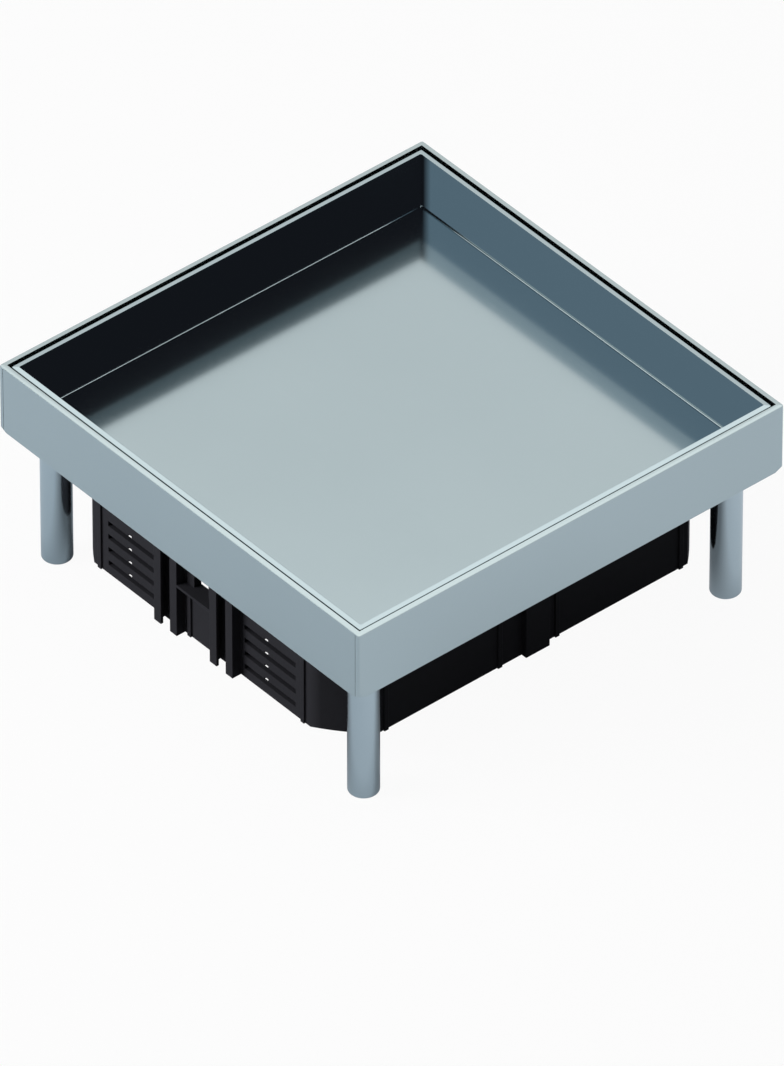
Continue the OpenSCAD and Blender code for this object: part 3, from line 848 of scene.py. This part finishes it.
def addFloor():
    s = floorSet
    bm = bmesh.new()
    bmesh.ops.create_grid(bm, x_segments=1, y_segments=1, size=s["half"])
    floor = stagePiece("studioFloor", bm)
    material, tree, shader = newMaterial("floorPaper")
    mirrored = seenRays(tree, {"Is Glossy Ray": 1})
    tree.links.new(tinted(tree, mirrored, s["colour"], s["glossTint"]), shader.inputs["Base Color"])
    shader.inputs["Roughness"].default_value = s["rough"]
    shader.inputs["Specular IOR Level"].default_value = 0
    glow = addNode(tree, "ShaderNodeEmission", Color=(*s["glossGlow"], 1), Strength=1)
    # Painted light: gloss sees the floor glow more towards the right
    across = combined(tree, *placeAlong(tree, "X", "Y"))
    glowing = ranged(tree, across, *s["glowAcross"], *s["glowShare"])
    lifted = mixedShader(tree, combined(tree, mirrored, glowing, "MULTIPLY"), shader, glow)
    # Painted shade: gloss sees the floor dark under the box
    reach = tree.nodes.new("ShaderNodeVectorMath")
    reach.operation = "LENGTH"
    tree.links.new(objectCoords(tree), reach.inputs[0])
    under = ranged(tree, reach.outputs["Value"], *s["shadeReach"], s["shadeShare"], 0)
    dark = addNode(tree, "ShaderNodeEmission", Strength=0)
    shaded = mixedShader(tree, combined(tree, mirrored, under, "MULTIPLY"), lifted, dark)
    clear = seenRays(tree, {"Is Camera Ray": s["clear"], "Is Transmission Ray": s["clear"]})
    seen = mixedShader(tree, clear, shaded, tree.nodes.new("ShaderNodeBsdfTransparent"))
    tree.links.new(seen.outputs[0], tree.nodes["Material Output"].inputs["Surface"])
    floor.data.materials.append(material)


def glossOnly(card, colour):
    card.visible_camera = card.visible_diffuse = card.visible_shadow = False
    card.visible_transmission = card.visible_volume_scatter = False
    material, tree, shader = newMaterial(card.name)
    shader.inputs["Base Color"].default_value = (0, 0, 0, 1)
    shader.inputs["Specular IOR Level"].default_value = 0
    shader.inputs["Emission Color"].default_value = (*colour, 1)
    shader.inputs["Emission Strength"].default_value = 1
    card.data.materials.append(material)
    return tree, shader


ceilingSet = {"radius": 2.5, "height": 2.4, "colour": (1.5, 1.5, 1.5)}


def addCeiling():
    s = ceilingSet
    bm = bmesh.new()
    bmesh.ops.create_circle(bm, cap_ends=True, segments=96, radius=s["radius"],
                            matrix=Matrix.Translation((0, 0, s["height"])))
    glossOnly(stagePiece("ceilingCard", bm), s["colour"])


# Flags: cards that glow and that only gloss sees stand close in front of the tray's far walls, in heights
# over its
# floor, and paint the reflections there: the wall mirrors the near one and the floor mirrors the other.
# The right ones fade to a painted shade towards the back corner.
flagSet = {
    "leftFlag": {"wall": (-1, 0), "off": 0.25, "low": 0.25, "colour": (0.0137, 0.0145, 0.019)},
    "leftUpperFlag": {"wall": (-1, 0), "off": 0.5, "low": 18.5, "colour": (0.11, 0.14, 0.157)},
    "rightFlag": {"wall": (0, 1), "off": 0.25, "low": 0.8, "colour": (0.186, 0.26, 0.324)},
    "rightUpperFlag": {"wall": (0, 1), "off": 0.5, "low": 18.5, "colour": (0.38, 0.455, 0.51)},
}
flagShape = {"top": 29.4, "gap": 0.25, "fade": (1.5, 6.5), "dark": (0.012, 0.013, 0.017)}


def addFlag(name, flag):
    s = flagShape
    bottom, top = flag["low"], s["top"]
    bm = bmesh.new()
    made = bmesh.ops.create_grid(bm, x_segments=1, y_segments=1, size=0.5)["verts"]
    bmesh.ops.scale(bm, verts=made, vec=(2 * (trayInside - s["gap"]), top - bottom, 1))
    bmesh.ops.rotate(bm, verts=made, matrix=Matrix.Rotation(math.radians(90), 3, "X"))
    if flag["wall"][0]:
        bmesh.ops.rotate(bm, verts=made, matrix=Matrix.Rotation(math.radians(90), 3, "Z"))
    away = Vector((*flag["wall"], 0)) * (trayInside - flag["off"])
    bmesh.ops.translate(bm, verts=made, vec=away + Vector((0, 0, trayFloor + (top + bottom) / 2)))
    bmesh.ops.scale(bm, verts=made, vec=(mm, mm, mm))
    tree, shader = glossOnly(stagePiece(name, bm), flag["colour"])
    # Painted shade: the right cards' glow darkens towards the back corner
    if flag["wall"][1]:
        start, full = ((place - trayInside) * mm for place in s["fade"])
        fade = ranged(tree, *placeAlong(tree, "X"), start, full, 0, 1)
        tree.links.new(tinted(tree, fade, s["dark"], flag["colour"]), shader.inputs["Emission Color"])


lampSets = {
    "overheadSoftbox": {"size": 3.0, "level": 0.4, "azimuth": 0, "elevation": 90, "distance": 2.4},
    "leftSoftbox": {"size": 1.4, "level": 1.5, "azimuth": 239, "elevation": 24, "distance": 2.2},
}


def addLamp(name, s):
    az, el = math.radians(s["azimuth"]), math.radians(s["elevation"])
    towards = Vector((math.cos(az) * math.cos(el), math.sin(az) * math.cos(el), math.sin(el)))
    data = bpy.data.lights.new(name, "AREA")
    data.shape = "DISK"
    data.size = s["size"]
    share = 1 / (1 + (2 * s["distance"] / s["size"]) ** 2)  # of its light on a surface that faces it
    data.energy = s["level"] / share * math.pi * math.pi * (s["size"] / 2) ** 2
    lamp = bpy.data.objects.new(name, data)
    lamp.matrix_world = (Matrix.Translation(towards * s["distance"])
                         @ towards.to_track_quat("Z", "Y").to_matrix().to_4x4())
    lamp.visible_glossy = False
    scene.collection.objects.link(lamp)


lightWorld()
addFloor()
addCeiling()
for name, flag in flagSet.items():
    addFlag(name, flag)
for name, lamp in lampSets.items():
    addLamp(name, lamp)
scene.view_settings.view_transform = "Standard"
print("studio lit")
